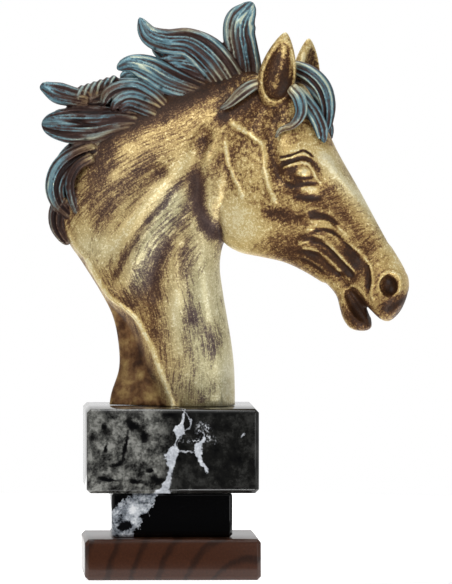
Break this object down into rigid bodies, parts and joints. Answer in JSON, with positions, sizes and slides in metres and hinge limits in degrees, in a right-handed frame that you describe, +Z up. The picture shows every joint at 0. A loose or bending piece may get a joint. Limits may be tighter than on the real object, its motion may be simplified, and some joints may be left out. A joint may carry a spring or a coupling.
{
  "type": "horse head trophy",
  "caption": "Cast horse head with a flying mane, on two black marble blocks and a dark wooden foot.",
  "frame": {"origin": "middle of the wooden foot's underside", "axes": "+Z up, +X the way the horse looks, -Y the side the picture is taken from"},
  "size_m": [0.1899, 0.0867, 0.2986],
  "materials": {
    "antique_gold_resin": "cast resin, dark brown washed and dry-brushed with antique gold and cream, blue-teal on the mane",
    "black_marble": "polished black marble with white veins and grey clouding",
    "walnut_stained_wood": "wood stained dark walnut and lacquered"
  },
  "bodies": {
    "root": {"horse_head": "antique_gold_resin", "marble_block": "black_marble", "marble_waist": "black_marble", "wooden_foot": "walnut_stained_wood"}
  },
  "joints": []
}
